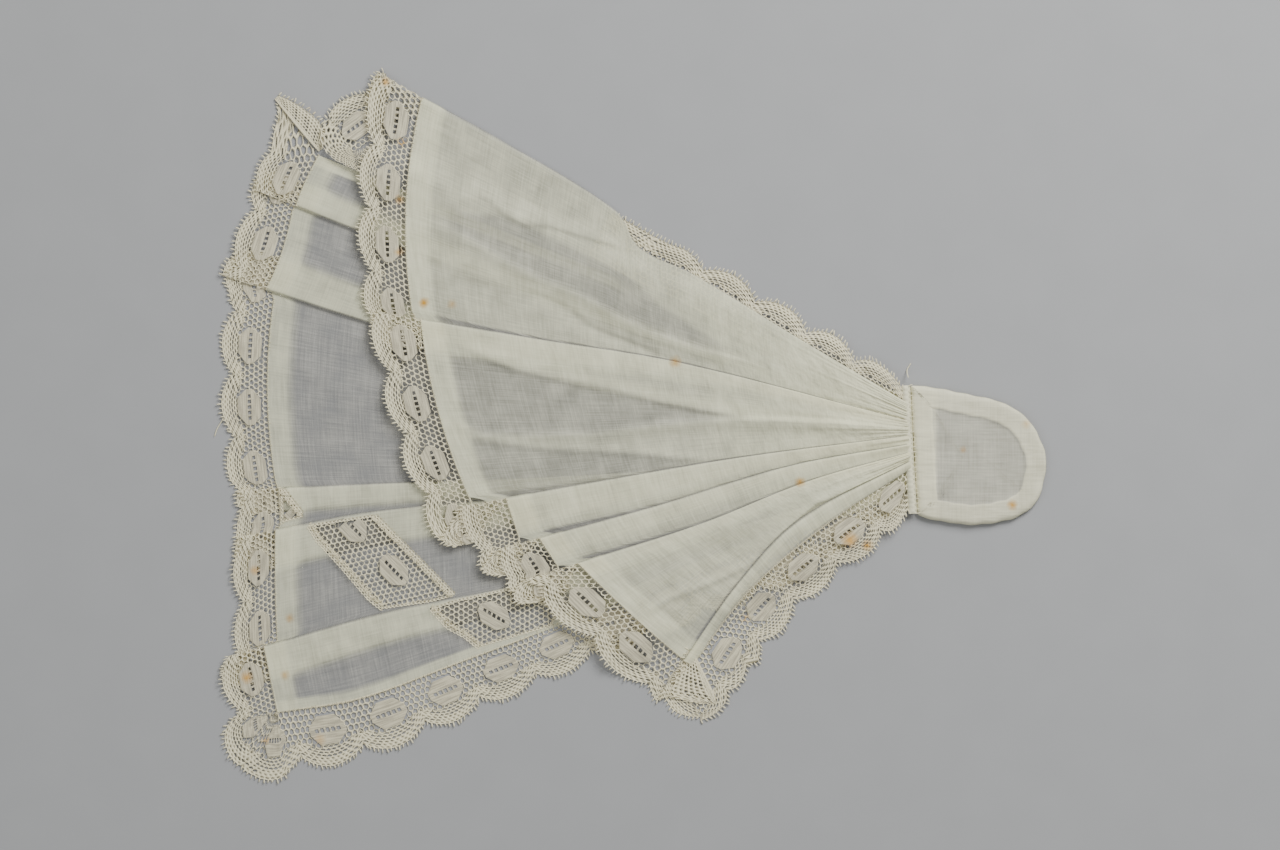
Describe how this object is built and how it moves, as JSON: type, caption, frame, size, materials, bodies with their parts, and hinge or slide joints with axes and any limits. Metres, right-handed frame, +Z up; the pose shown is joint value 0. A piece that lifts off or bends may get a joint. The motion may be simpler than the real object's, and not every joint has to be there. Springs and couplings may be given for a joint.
{
  "type": "jabot",
  "caption": "Sheer pleated neck frill in two tiers, edged with scalloped lace and gathered into a small round-ended tab, laid out flat.",
  "frame": {"origin": "centre of the laid-out jabot's bounding box, on the surface that it lies on", "axes": "+X from the hem to the tab, +Y across the frills towards the folded edge, +Z up out of the surface"},
  "size_m": [0.2477, 0.2126, 0.0059],
  "materials": {
    "lawn": "sheer ivory cotton lawn, matt",
    "tab_lawn": "ivory cotton lawn in two layers, matt",
    "lace": "cream cotton lace with an open ground"
  },
  "bodies": {
    "root": {"tab_front": "tab_lawn", "tab_back": "tab_lawn", "lower_frill": "lawn", "upper_frill": "lawn", "lower_hem_lace": "lace", "lower_side_lace": "lace", "lower_corner_lace": "lace", "upper_hem_lace": "lace", "upper_side_lace": "lace", "upper_top_lace": "lace", "upper_turned_lace": "lace", "insertion_centre": "lace", "insertion_middle": "lace", "insertion_low": "lace"}
  },
  "joints": []
}
